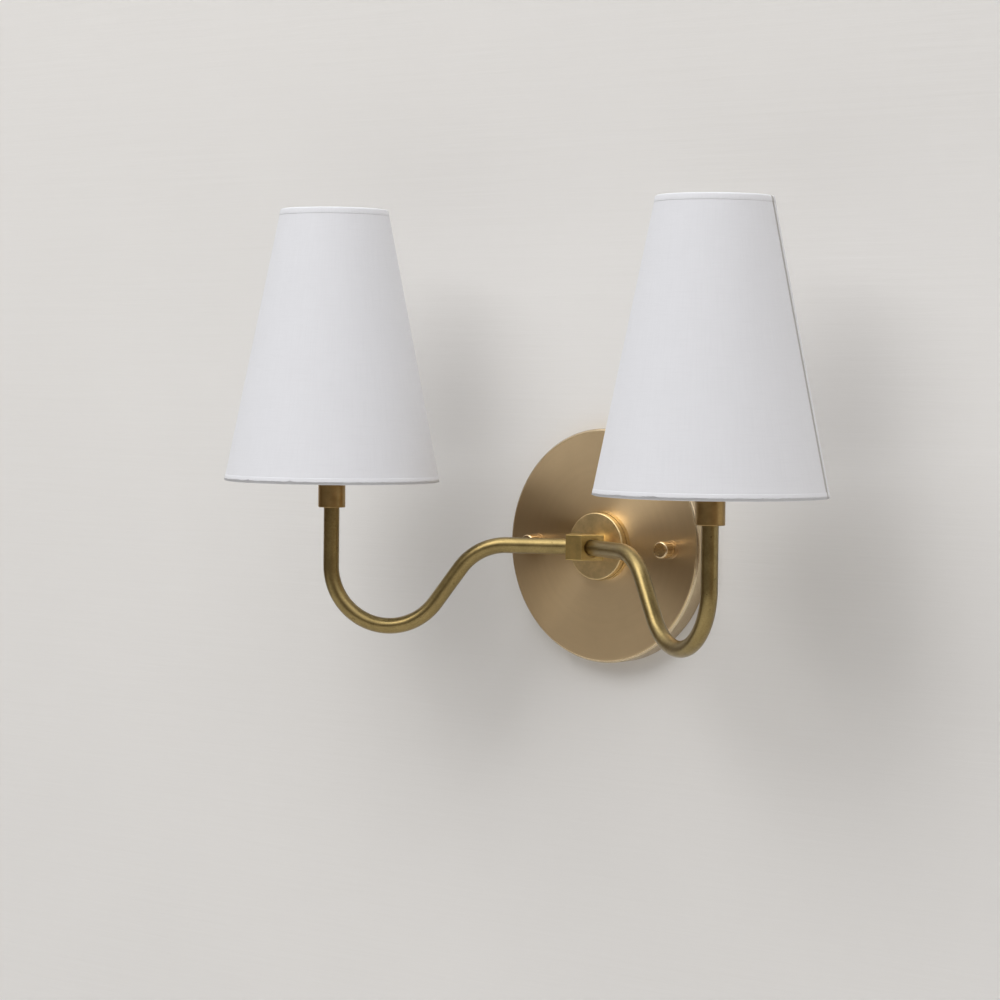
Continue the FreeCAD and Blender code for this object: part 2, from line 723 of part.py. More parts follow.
def clip_loop(sense, radius):
    """One spring-wire loop down the side of the bulb, both its ends in the ferrule."""
    grip_x = sense * (BULB_R + CLIP_WIRE_R + CLIP_GRIP_GAP)
    root_x = sense * (FERRULE_R - 2 * CLIP_WIRE_R)
    root_z = FERRULE_FOOT + FERRULE_T / 2
    knee_z = BULB_WIDEST + CLIP_LEG_TOP
    end_z = BULB_WIDEST - CLIP_LOOP_DROP - CLIP_LOOP_R
    points = [
        Vector(root_x, CLIP_LEG_ROOT, root_z),
        Vector(grip_x, CLIP_LEG_SPREAD, knee_z),
        Vector(grip_x, CLIP_LOOP_R, end_z),
        Vector(grip_x, -CLIP_LOOP_R, end_z),
        Vector(grip_x, -CLIP_LEG_SPREAD, knee_z),
        Vector(root_x, -CLIP_LEG_ROOT, root_z),
    ]
    bends = [CLIP_BEND_R, CLIP_LOOP_BEND_R, CLIP_LOOP_BEND_R, CLIP_BEND_R]
    return swept(bent(points, bends), radius)


def bulb_clip():
    return [clip_loop(sense, CLIP_WIRE_R) for sense in (-1, 1)]


def clip_ferrule():
    """The ferrule that holds the loops, with a flat tongue for the swivel pin."""
    ferrule = Part.makeCylinder(FERRULE_R, FERRULE_T, Vector(0, 0, FERRULE_FOOT))
    half = TONGUE_WIDTH / 2
    corner = Vector(-half, -TONGUE_T / 2, FERRULE_TOP - TONGUE_ROOT)
    tongue = Part.makeBox(TONGUE_WIDTH, TONGUE_T, PIVOT_Z - FERRULE_TOP + TONGUE_ROOT, corner)
    ends = Vector(0, TONGUE_T / 2, PIVOT_Z), Vector(0, -TONGUE_T / 2, PIVOT_Z)
    shape = ferrule.fuse([tongue, rod(half, *ends)]).removeSplitter()
    shape = shape.cut(rod(PIN_R + RUN, *ends))
    for sense in (-1, 1):
        shape = shape.cut(clip_loop(sense, CLIP_WIRE_R + SEAT))
    return shape


def swivel_pin():
    shank = rod(PIN_R, Vector(0, -CHEEK_OUTER, PIVOT_Z), Vector(0, CHEEK_OUTER, PIVOT_Z))
    heads = []
    for sense in (-1, 1):
        start = Vector(0, sense * CHEEK_OUTER, PIVOT_Z)
        heads.append(rod(PIN_HEAD_R, start, start + Vector(0, sense * PIN_HEAD_T, 0)))
    return shank.fuse(heads).removeSplitter()


def ring_height(end):
    """Height of a shade ring's centre line; end is 1 at the top edge and -1 at the bottom one."""
    edge = SHADE_TOP if end > 0 else SHADE_FOOT
    return edge - end * SHADE_RING_R


def ring_centre_r(end):
    return shade_r(ring_height(end)) - SHADE_SKIN - LINEN_GAP - SHADE_RING_SPAN


def shade_ring(end):
    return Part.makeTorus(ring_centre_r(end), SHADE_RING_R, Vector(0, 0, ring_height(end)))


def spider_rods(radius):
    """The rods from the yoke's rim up to the top ring, evenly round."""
    reach = ring_centre_r(1) - SHADE_RING_R
    rods = []
    for k in range(SPIDER_ARMS):
        angle = 2 * math.pi * (k + SPIDER_TURN) / SPIDER_ARMS
        way = Vector(math.cos(angle), math.sin(angle), 0)
        root = way * (YOKE_R - 2 * SPIDER_ROD_R) + UP * (YOKE_FOOT + YOKE_T / 2)
        rods.append(rod(radius, root, way * reach + UP * ring_height(1)))
    return rods


def shade_spider():
    """The yoke over the swivel, with three rods up to the top ring."""
    yoke = Part.makeCylinder(YOKE_R, YOKE_T, Vector(0, 0, YOKE_FOOT))
    for sense in (-1, 1):
        low_y = CHEEK_INNER if sense > 0 else -CHEEK_OUTER
        corner = Vector(-CHEEK_WIDTH / 2, low_y, PIVOT_Z - CHEEK_DROP)
        yoke = yoke.fuse(Part.makeBox(CHEEK_WIDTH, CHEEK_T, YOKE_FOOT + YOKE_T / 2 - PIVOT_Z + CHEEK_DROP, corner))
    yoke = yoke.fuse(spider_rods(SPIDER_ROD_R))
    ends = Vector(0, -CHEEK_OUTER, PIVOT_Z), Vector(0, CHEEK_OUTER, PIVOT_Z)
    yoke = yoke.cut(rod(PIN_R + SEAT, *ends)).removeSplitter()
    ring_room = Part.makeTorus(ring_centre_r(1), SHADE_RING_R + SEAT, Vector(0, 0, ring_height(1)))
    return yoke.cut(ring_room)


def shade_skin():
    skin = SHADE_SKIN
    return turned(
        outline(
            (SHADE_BOTTOM_R, SHADE_FOOT),
            (SHADE_TOP_R, SHADE_TOP),
            (SHADE_TOP_R - skin, SHADE_TOP),
            (SHADE_BOTTOM_R - skin, SHADE_FOOT),
        )
    )


def shade_trim(end):
    """A rolled linen trim round the skin's edge and its ring; the top one lets the spider's rods through."""
    edge = SHADE_TOP if end > 0 else SHADE_FOOT
    tip = edge + end * (LINEN_GAP + TRIM_T)
    web = edge + end * LINEN_GAP
    hem = edge - end * TRIM_HEIGHT
    outer = LINEN_GAP + TRIM_T
    inner = SHADE_SKIN + 2 * LINEN_GAP + 2 * SHADE_RING_SPAN
    round_off = TRIM_T
    trim = turned(
        outline(
            (shade_r(hem) + outer, hem),
            (shade_r(tip) + outer, tip - end * round_off),
            (shade_r(tip) + outer - round_off, tip),
            (shade_r(tip) - inner - TRIM_T + round_off, tip),
            (shade_r(tip) - inner - TRIM_T, tip - end * round_off),
            (shade_r(hem) - inner - TRIM_T, hem),
            (shade_r(hem) - inner, hem),
            (shade_r(web) - inner, web),
            (shade_r(web) + LINEN_GAP, web),
            (shade_r(hem) + LINEN_GAP, hem),
        )
    )
    return trim.cut(spider_rods(SPIDER_ROD_R + LINEN_GAP)) if end > 0 else trim


def write(name, solids, at=Vector(0, 0, 0)):
    """Each node's solids to its own file, moved to their place."""
    solids = solids if isinstance(solids, list) else [solids]
    whole = Part.makeCompound([s for solid in solids for s in solid.Solids])
    whole.translate(at)
    whole.exportStep("parts/" + name + ".step")


os.makedirs("parts", exist_ok=True)
write("backplate", backplate())
write("mounting_plate", mounting_plate())
write("mounting_studs", mounting_studs())
write("stud_nuts", stud_nuts())
write("ground_screw", ground_screw())
write("hub", hub())
write("nipple", nipple())
write("lock_washer", lock_washer())
write("nipple_nut", nipple_nut())
write("cross_block", cross_block())
write("arm_set_screws", arm_set_screws())
write("knob_washers", knob_washers())
for name, side in SIDES.items():
    lamp = Vector(side * LAMP_X, LAMP_Y, 0)
    write("knob_" + name, knob(side))
    write("arm_" + name, arm(side))
    write("arm_leads_" + name, arm_leads(side))
    write("collar_" + name, collar(), lamp)
    write("socket_nipple_" + name, socket_nipple(), lamp)
    write("socket_body_" + name, socket_body(), lamp)
    write("socket_shell_" + name, socket_shell(), lamp)
    write("socket_contact_" + name, socket_contact(), lamp)
    write("bulb_cap_" + name, bulb_cap(), lamp)
    write("bulb_contact_" + name, bulb_contact(), lamp)
    write("bulb_glass_" + name, bulb_glass(), lamp)
    write("bulb_stem_" + name, bulb_stem(), lamp)
    write("bulb_clip_" + name, bulb_clip(), lamp)
    write("clip_ferrule_" + name, clip_ferrule(), lamp)
    write("swivel_pin_" + name, swivel_pin(), lamp)
    write("shade_spider_" + name, shade_spider(), lamp)
    write("shade_skin_" + name, shade_skin(), lamp)
    write("shade_ring_top_" + name, shade_ring(1), lamp)
    write("shade_ring_bottom_" + name, shade_ring(-1), lamp)
    write("shade_trim_top_" + name, shade_trim(1), lamp)
    write("shade_trim_bottom_" + name, shade_trim(-1), lamp)
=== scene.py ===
import math

import bmesh
import bpy
import numpy as np
from bpy.props import FloatProperty, FloatVectorProperty, PointerProperty
from bpy.types import Operator, Panel, PropertyGroup
from mathutils import Matrix, Vector


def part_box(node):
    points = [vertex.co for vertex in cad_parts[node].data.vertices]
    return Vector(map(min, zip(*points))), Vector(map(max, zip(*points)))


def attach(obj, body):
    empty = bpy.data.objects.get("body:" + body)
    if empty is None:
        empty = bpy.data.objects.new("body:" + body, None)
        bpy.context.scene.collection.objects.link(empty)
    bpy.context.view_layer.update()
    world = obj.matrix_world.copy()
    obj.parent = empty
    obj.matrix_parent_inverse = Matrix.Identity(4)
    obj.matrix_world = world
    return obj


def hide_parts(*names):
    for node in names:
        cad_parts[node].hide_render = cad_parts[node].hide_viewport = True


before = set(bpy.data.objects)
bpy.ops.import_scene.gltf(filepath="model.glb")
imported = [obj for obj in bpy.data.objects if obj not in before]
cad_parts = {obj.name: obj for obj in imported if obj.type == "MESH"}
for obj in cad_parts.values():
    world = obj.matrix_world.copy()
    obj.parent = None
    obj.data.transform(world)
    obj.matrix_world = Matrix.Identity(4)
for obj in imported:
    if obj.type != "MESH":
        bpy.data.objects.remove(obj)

bl_info = {
    "name": "Double Arm Wall Sconce",
    "version": (1, 0, 0),
    "blender": (4, 5, 0),
    "location": "3D View > Sidebar > Sconce",
    "description": "Linen shades, bulbs, screw threads and brass finishes round a sconce's solid frame",
    "category": "Object",
}

MM = 0.001
SIDES = {"left": -1.0, "right": 1.0}
WAVE_UNIT = math.pi / 10  # a wave texture of this scale repeats once in a unit
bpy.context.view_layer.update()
UP = Vector((0.0, 0.0, 1.0))
OUT = Vector((0.0, -1.0, 0.0))
WAVES = 14  # how many waves are added up in a wandering edge


# Sizes and colours that a user would change


def length(name, description, default, low=0.0):
    return FloatProperty(
        name=name, description=description, default=default, min=low, unit="LENGTH", precision=5
    )


def colour(name, description, default):
    return FloatVectorProperty(
        name=name, description=description, default=default, size=3, min=0.0, max=1.0, subtype="COLOR"
    )


def share(name, description, default):
    return FloatProperty(
        name=name, description=description, default=default, min=0.0, max=1.0, subtype="FACTOR"
    )


def angle(name, description, degrees):
    return FloatProperty(
        name=name, description=description, default=math.radians(degrees), subtype="ANGLE"
    )


class SconceBrass(PropertyGroup):
    plate_colour: colour("Plate", "Satin brass of the backplate and the knobs", (0.68, 0.51, 0.30))
    arm_colour: colour("Arms", "Hand-rubbed brass of the two tubes", (0.335, 0.248, 0.096))
    rim_colour: colour("Rim", "Polished brass of the plate's rounded rim and side", (0.60, 0.48, 0.315))
    hub_colour: colour("Hub", "Brighter brass of the turned hub", (0.80, 0.605, 0.31))
    block_colour: colour("Block", "Satin brass of the mitred block", (0.62, 0.445, 0.165))
    arm_patina: colour("Arm patina", "Darker brass in the hollows of the rubbed finish", (0.19, 0.125, 0.043))
    collar_colour: colour("Collars", "Browner brass of the two collars", (0.43, 0.285, 0.115))
    bright_colour: colour("Inner fittings", "Plain brass of the fittings in the shades", (0.78, 0.61, 0.31))
    plate_roughness: share("Plate roughness", "How broad the plate's reflections are", 0.41)
    arm_roughness: share("Arm roughness", "How broad the tubes' reflections are", 0.31)
    spun_line: length("Spun line", "Spacing of the turning marks on plate and hub", 0.35 * MM)


class SconceLinen(PropertyGroup):
    cloth_colour: colour("Linen", "White linen of both shades", (0.705, 0.71, 0.735))
    liner_colour: colour("Liner", "Smooth white liner inside the shades", (0.86, 0.86, 0.85))
    # The seam band's grey is partly the cut edge's own colour and partly painted shade of the crease under
    # the fold.
    cut_edge_and_crease_shade_colour: colour("Cut edge", "Greyer edge of cloth and liner along the seam", (0.36, 0.34, 0.31))
    thread: length("Thread", "Spacing of the weave's threads", 0.42 * MM)
    cloth: length("Cloth", "Thickness of the linen over its liner", 0.35 * MM)
    seam_lean: angle("Seam lean", "How far the seam turns back from its foot to its top", 6.0)
    seam_lap: length("Seam lap", "How far the cloth's two ends overlap", 7.0 * MM)
    seam_fold: length("Seam fold", "How far the seam's folded edge stands out", 0.9 * MM)
    seam_turn: angle("Seam place", "Turn of the right seam towards the wall; the left one mirrors it", 20.0)
    pucker: length("Pucker", "How far the rolled trims wander in and out", 0.08 * MM)


class SconceBulb(PropertyGroup):
    glass_tint: colour("Glass", "Tint of the clear bulbs", (0.97, 0.97, 0.96))
    filament_colour: colour("Filaments", "Coated filament rods, unlit", (0.90, 0.62, 0.18))
    cap_colour: colour("Cap", "Nickel plate of the screw cap", (0.72, 0.70, 0.66))
    cap_pitch: length("Cap thread", "Pitch of the cap's rolled thread", 2.54 * MM, 0.5 * MM)
    stud_pitch: length("Stud thread", "Pitch of the two studs' thread", 0.79 * MM, 0.2 * MM)
    nipple_pitch: length("Nipple thread", "Pitch of the hollow nipple's thread", 0.94 * MM, 0.2 * MM)


class SconceStage(PropertyGroup):
    wall_colour: colour("Wall", "Pale wall behind the sconce", (0.78, 0.765, 0.74))
    floor_colour: colour("Floor", "Pale floor below it", (0.56, 0.555, 0.54))
    floor_drop: length("Floor drop", "Depth of the floor under the sconce", 1.3, 0.5)
    window_power: FloatProperty(
        name="Window", description="Soft light from the upper left", default=21.0, unit="POWER"
    )


# Mesh helpers


def new_piece(name, vertices, faces, uvs=None, smooth=True):
    """A mesh object from points in metres; uvs is one (u, v) for each face corner, in metres."""
    mesh = bpy.data.meshes.new(name)
    mesh.from_pydata([tuple(v) for v in vertices], [], faces)
    if uvs is not None:
        layer = mesh.uv_layers.new(name="along")
        layer.data.foreach_set("uv", np.asarray(uvs, np.float32).ravel())
    mesh.polygons.foreach_set("use_smooth", [smooth] * len(mesh.polygons))
    mesh.update()
    piece = bpy.data.objects.new(name, mesh)
    bpy.context.scene.collection.objects.link(piece)
    return piece


def wound_grid(rings, sides, closed_rings):
    """Faces of a grid of rings that each close on themselves."""
    last = rings if closed_rings else rings - 1
    faces = []
    for i in range(last):
        j = (i + 1) % rings
        for k in range(sides):
            n = (k + 1) % sides
            faces.append((i * sides + k, i * sides + n, j * sides + n, j * sides + k))
    return faces


def grid_uvs(rings, sides, across, around):
    """The matching corners of a grid with closed rings: v from the ring's own place, u round it."""
    uvs = []
    for i in range(rings):
        for k in range(sides):
            uvs += [
                (around[k], across[i]),
                (around[k + 1], across[i]),
                (around[k + 1], across[i + 1]),
                (around[k], across[i + 1]),
            ]
    return uvs


def frame_axis(direction):
    """Turns heights along +Z into heights along the direction."""
    return UP.rotation_difference(direction).to_matrix().to_4x4()


def tidy_normals(piece):
    mesh = bmesh.new()
    mesh.from_mesh(piece.data)
    bmesh.ops.recalc_face_normals(mesh, faces=mesh.faces)
    mesh.to_mesh(piece.data)
    mesh.free()
    return piece


def rough_wave(count, seed, waves):
    """A closed wavy line of count values between about -1 and 1; waves is (lowest, highest) per turn."""
    rng = np.random.RandomState(seed)
    turn = np.linspace(0.0, 2.0 * math.pi, count, endpoint=False)
    total = np.zeros(count)
    for order in rng.randint(waves[0], waves[1], WAVES):
        total += rng.uniform(0.3, 1.0) * np.sin(order * turn + rng.uniform(0.0, 2.0 * math.pi))
    return total / np.abs(total).max()


# Material helpers


class Finish:
    """A node material under construction."""

    def __init__(self, name):
        self.material = bpy.data.materials.new(name)
        self.material.use_nodes = True
        self.tree = self.material.node_tree
        self.shader = self.tree.nodes["Principled BSDF"]

    def node(self, kind, settings=None, **inputs):
        made = self.tree.nodes.new("ShaderNode" + kind)
        for key, value in (settings or {}).items():
            setattr(made, key, value)
        for key, value in inputs.items():
            self.put(made.inputs[key.replace("_", " ")], value)
        return made

    def put(self, socket, value):
        if isinstance(value, bpy.types.NodeSocket):
            self.tree.links.new(value, socket)
        elif socket.type == "RGBA" and hasattr(value, "__len__"):
            socket.default_value = (*value[:3], 1.0)
        else:
            socket.default_value = value

    def set(self, **inputs):
        for key, value in inputs.items():
            self.put(self.shader.inputs[key.replace("_", " ")], value)

    def place(self):
        return self.node("TexCoord").outputs["Object"]

    def uv(self):
        return self.node("TexCoord").outputs["UV"]

    def maths(self, operation, *values):
        made = self.node("Math", {"operation": operation})
        for socket, value in zip(made.inputs, values):
            self.put(socket, value)
        return made.outputs[0]

    def stretched(self, source, scale):
        return self.node("Mapping", Vector=source, Scale=scale).outputs[0]

    def noise(self, source, scale, detail=2.0, roughness=0.5):
        made = self.node("TexNoise", Vector=source, Scale=scale, Detail=detail, Roughness=roughness)
        return made.outputs["Fac"]

    def ramp(self, value, *stops):
        """Colours or greys at places from 0 to 1."""
        made = self.node("ValToRGB", Fac=value)
        elements = made.color_ramp.elements
        while len(elements) < len(stops):
            elements.new(0.5)
        for element, (at, tone) in zip(elements, stops):
            element.position = at
            element.color = (tone, tone, tone, 1.0) if isinstance(tone, float) else (*tone[:3], 1.0)
        return made.outputs[0]

    def mixed(self, factor, first, second):
        made = self.node("Mix", {"data_type": "RGBA"})
        self.put(made.inputs[0], factor)
        self.put(made.inputs[6], first)
        self.put(made.inputs[7], second)
        return made.outputs[2]

    def blended(self, value, low, high, first, second):
        """From the first colour to the second as a value runs from low to high."""
        return self.mixed(self.ramp(value, (low, 0.0), (high, 1.0)), first, second)

    def varied(self, base, value, swing):
        """A number that rises from base by swing as a value goes from 0 to 1."""
        return self.maths("ADD", base, self.maths("MULTIPLY", value, swing))

    def bump(self, height, distance, strength=1.0, after=None):
        made = self.node("Bump", Height=height, Distance=distance, Strength=strength)
        if after is not None:
            self.put(made.inputs["Normal"], after)
        return made.outputs[0]


def scaled(tone, factor):
    return tuple(min(1.0, c * factor) for c in tone[:3])


# Metal finishes

RIM_WIDTH = 1.2 * MM  # the polished edge of the plate, measured in from its side
BRUSHING = 0.82  # how much longer the plate's reflections are along the radius than round it
BRUSH_TURN = 0.29  # of a full turn: 0.25 would be true circles, and the rest leans the marks by 14 degrees


def satin_plate(brass):
    """Lacquered satin brass with fine turning marks round the plate's centre, and a smoother side."""
    finish = Finish("satin_brass_plate")
    place = finish.node("SeparateXYZ", Vector=finish.place()).outputs
    squares = [finish.maths("MULTIPLY", place[axis], place[axis]) for axis in (0, 2)]
    radius = finish.maths("SQRT", finish.maths("ADD", *squares))
    line = finish.node("CombineXYZ", X=radius, Y=0.0, Z=place[1]).outputs[0]
    marks = finish.noise(line, 1.0 / brass.spun_line, 3.0, 0.7)
    broad = finish.noise(line, 0.12 / brass.spun_line, 2.0)
    cloud = finish.noise(finish.place(), 22.0, 4.0, 0.6)
    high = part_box("backplate")[1]
    rim = finish.maths("GREATER_THAN", radius, high.x - RIM_WIDTH)
    base = brass.plate_colour
    tone = finish.ramp(cloud, (0.30, scaled(base, 0.93)), (0.72, scaled(base, 1.04)))
    tone = finish.mixed(finish.ramp(broad, (0.35, 0.0), (0.65, 0.25)), tone, scaled(base, 0.90))
    tone = finish.mixed(rim, tone, brass.rim_colour)
    rough = finish.varied(brass.plate_roughness - 0.05, marks, 0.10)
    rough = finish.maths("SUBTRACT", rough, finish.maths("MULTIPLY", rim, brass.plate_roughness * 0.4))
    tangent = finish.node("Tangent", {"direction_type": "RADIAL", "axis": "Y"}).outputs[0]
    finish.set(Base_Color=tone, Metallic=1.0, Roughness=rough)
    finish.set(Tangent=tangent, Anisotropic=BRUSHING, Anisotropic_Rotation=BRUSH_TURN)
    finish.set(Coat_Weight=0.12, Coat_Roughness=0.28)
    finish.set(Normal=finish.bump(marks, 0.01 * MM, 0.35))
    return finish.material


def rubbed_arm(brass):
    """Aged brass rubbed by hand: bright on top of the grain, patina in the hollows, a few dark specks."""
    finish = Finish("rubbed_brass_arm")
    place = finish.place()
    patch = finish.noise(place, 95.0, 6.0, 0.68)
    grain = finish.noise(place, 900.0, 3.0, 0.65)
    specks = finish.noise(place, 420.0, 1.0, 0.4)
    tone = finish.blended(patch, 0.34, 0.60, scaled(brass.arm_colour, 0.78), brass.arm_colour)
    tone = finish.mixed(finish.ramp(grain, (0.38, 0.36), (0.58, 0.0)), tone, brass.arm_patina)
    tone = finish.mixed(finish.ramp(specks, (0.24, 0.50), (0.30, 0.0)), tone, scaled(brass.arm_patina, 0.55))
    rough = finish.varied(finish.varied(brass.arm_roughness - 0.08, patch, 0.12), grain, 0.08)
    finish.set(Base_Color=tone, Metallic=1.0, Roughness=rough, Coat_Weight=0.25, Coat_Roughness=0.30)
    finish.set(Normal=finish.bump(grain, 0.017 * MM, 0.5, finish.bump(patch, 0.08 * MM, 0.30)))
    return finish.material


def turned_brass(name, base, roughness, centre, axis, line, marks=0.6):
    """Brass off a lathe: rings a line apart across the axis (0 to 2 for x to z), and a little tarnish."""
    finish = Finish(name)
    place = finish.node("Mapping", Vector=finish.place(), Location=[-c for c in centre]).outputs[0]
    parts = finish.node("SeparateXYZ", Vector=place).outputs
    squares = [finish.maths("MULTIPLY", parts[i], parts[i]) for i in range(3) if i != axis]
    radius = finish.maths("SQRT", finish.maths("ADD", *squares))
    along = finish.node("CombineXYZ", X=radius, Y=parts[axis], Z=0.0).outputs[0]
    rings = finish.noise(along, 1.0 / line, 2.0, 0.6)
    tarnish = finish.noise(finish.place(), 130.0, 4.0, 0.6)
    tone = finish.blended(tarnish, 0.35, 0.65, scaled(base, 0.78), scaled(base, 1.05))
    tone = finish.mixed(finish.ramp(rings, (0.40, 0.3 * marks), (0.60, 0.0)), tone, scaled(base, 0.62))
    rough = finish.varied(roughness - 0.05, rings, 0.10)
    finish.set(Base_Color=tone, Metallic=1.0, Roughness=rough, Normal=finish.bump(rings, 0.012 * MM, marks))
    return finish.material


def plated(name, base, roughness, cloudiness=0.12):
    """Plated or plain small metal pieces, lightly clouded by handling."""
    finish = Finish(name)
    cloud = finish.noise(finish.place(), 260.0, 4.0, 0.6)
    tone = finish.blended(cloud, 0.3, 0.7, scaled(base, 1.0 - cloudiness), scaled(base, 1.05))
    rough = finish.varied(roughness - 0.04, cloud, 0.10)
    finish.set(Base_Color=tone, Metallic=1.0, Roughness=rough, Normal=finish.bump(cloud, 0.02 * MM, 0.3))
    return finish.material


def moulded(name, base, roughness, mottle=60.0):
    """Plastic or paint: even, with a faint orange peel."""
    finish = Finish(name)
    cloud = finish.noise(finish.place(), mottle, 3.0)
    peel = finish.noise(finish.place(), 1400.0, 1.0)
    tone = finish.blended(cloud, 0.3, 0.7, scaled(base, 0.94), base)
    finish.set(Base_Color=tone, Roughness=roughness, Normal=finish.bump(peel, 0.02 * MM, 0.4))
    return finish.material


# Cloth finishes


def linen_finish(linen):
    """Fine plain weave with slubs; u runs round the shade and v up it, in metres."""
    finish = Finish("white_linen")
    uv = finish.uv()
    scale = WAVE_UNIT / linen.thread
    threads = []
    for way in "XY":
        wave = finish.node("TexWave", {"bands_direction": way}, Vector=uv, Scale=scale, Distortion=1.2)
        finish.put(wave.inputs["Detail"], 2.0)
        finish.put(wave.inputs["Detail Scale"], 1.5)
        threads.append(wave.outputs["Fac"])
    weave = finish.maths("ADD", *threads)
    slubs = finish.noise(finish.stretched(uv, (60.0, 1150.0, 1.0)), 1.0, 3.0, 0.55)
    yarns = finish.noise(finish.stretched(uv, (1300.0, 45.0, 1.0)), 1.0, 2.0, 0.5)
    cloud = finish.noise(uv, 45.0, 3.0, 0.6)
    base = linen.cloth_colour
    tone = finish.ramp(slubs, (0.30, scaled(base, 0.98)), (0.52, scaled(base, 1.0)))
    tone = finish.mixed(finish.ramp(yarns, (0.34, 0.30), (0.55, 0.0)), tone, scaled(base, 0.945))
    tone = finish.mixed(finish.ramp(cloud, (0.30, 0.25), (0.60, 0.0)), tone, scaled(base, 0.95))
    # Painted shade along the seam: a greyer band at the folded edge, partly the cut edge's own colour and
    # partly the shade of the crease under the fold.
    fold = finish.maths("ABSOLUTE", finish.node("SeparateXYZ", Vector=uv).outputs[0])
    cut = finish.maths("LESS_THAN", fold, SEAM_EDGE * 0.75)
    tone = finish.mixed(finish.maths("MULTIPLY", cut, 0.75), tone, linen.cut_edge_and_crease_shade_colour)
    fine = finish.bump(weave, 0.05 * MM, 0.30)
    fine = finish.bump(slubs, 0.08 * MM, 0.28, fine)
    fine = finish.bump(yarns, 0.07 * MM, 0.25, fine)
    finish.set(Base_Color=tone, Roughness=0.92, Specular_IOR_Level=0.25)
    finish.set(Sheen_Weight=0.15, Sheen_Roughness=0.5, Normal=fine)
    return finish.material


def liner_finish(linen):
    return moulded("white_liner", linen.liner_colour, 0.42, 30.0)


# Shades

LINEN_TURNS = 360  # points round the cloth, besides the close ones at its seam
LINEN_ROWS = 110
LINEN_WAVES = 60  # waves that are added up in the cloth's lumps
LINEN_ORDERS = (2, 70)  # how many times a wave goes up and down round the cloth, from and up to
LINEN_CLIMB = 18.0  # most half waves up the cloth
LINEN_LUMP = 0.035 * MM  # how far the cloth wanders in and out
LINEN_SEEDS = {"left": 11, "right": 12}
LINER_SIDES = 240
LINER_ROWS = 12
LINER_GAP = 0.02 * MM  # between the cloth and its liner
SEAM_EDGE = 0.3 * MM  # how far round the seam's folded edge spreads
SEAM_POINTS = (-0.05, -0.022, 0.022, 0.05, 0.1, 0.9, 0.97, 1.0, 1.02)  # close points, in laps from the edge
TRIM_SIDES = 900
TRIM_STEPS = 8  # from the hem to the roll
ROLL_STEPS = 10  # over the roll
TRIM_HEM = 3.3 * MM  # how far a trim reaches over the cloth
TRIM_ROUND = 1.1 * MM  # the rolled edge's height
TRIM_DEPTH = 3.6 * MM  # from the cloth to the trim's inner face
TRIM_TAPE = 0.45 * MM  # the trim's thickness inside
TRIM_SWELL = 0.10 * MM  # how far a trim bulges over the cloth
TRIM_CLEAR = 0.05 * MM  # the small gaps between trim, cloth and liner
TRIM_LIFT = 0.03 * MM  # from the cloth to the hem's outside
TRIM_UNDER = 0.02 * MM  # and to its underside
TRIM_LEDGE = 0.1 * MM  # how far the inner tape stops short of the roll
TRIM_SEEDS = {"left": 20, "right": 30}


class ShadeForm:
    """A shade's cone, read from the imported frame."""

    def __init__(self, side):
        self.side = side
        low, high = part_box("shade_skin_" + side)
        self.centre = Vector(((low.x + high.x) / 2, (low.y + high.y) / 2, 0.0))
        self.foot = low.z
        self.top = high.z
        self.foot_r = (high.x - low.x) / 2
        self.trim_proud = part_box("shade_trim_top_" + side)[1].z - high.z
        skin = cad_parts["shade_skin_" + side].data.vertices
        rim = [v.co for v in skin if v.co.z > self.top - 0.1 * MM]
        reach = [math.hypot(p.x - self.centre.x, p.y - self.centre.y) for p in rim]
        self.top_r = max(reach)
        self.wall = self.top_r - min(reach)

    def radius(self, z):
        rise = (z - self.foot) / (self.top - self.foot)
        return self.foot_r + (self.top_r - self.foot_r) * rise


def seam_angle(linen, side, rise):
    """The folded edge's angle at a rise from 0 at the shade's foot to 1 at its top."""
    turn = linen.seam_turn - linen.seam_lean * rise
    return turn if side == "right" else math.pi - turn


def seam_rise(turns, linen, radius):
    """How far the lapped cloth stands out at each turn from its folded edge: steep, then dying away."""
    arc = (np.mod(turns + math.pi, 2.0 * math.pi) - math.pi) * radius
    edge = np.clip(arc / SEAM_EDGE + 0.5, 0.0, 1.0)
    back = np.clip((linen.seam_lap - arc) / linen.seam_lap, 0.0, 1.0)
    return linen.seam_fold * edge * np.sqrt(back)


def turns_from_seam(count, lap, radius):
    """Even turns round a shade from its seam, with close ones where the folded edge lies."""
    edge = lap / radius
    extra = [edge * k for k in SEAM_POINTS]
    even = np.linspace(-math.pi, math.pi, count, endpoint=False)
    return np.sort(np.concatenate([even, extra]))


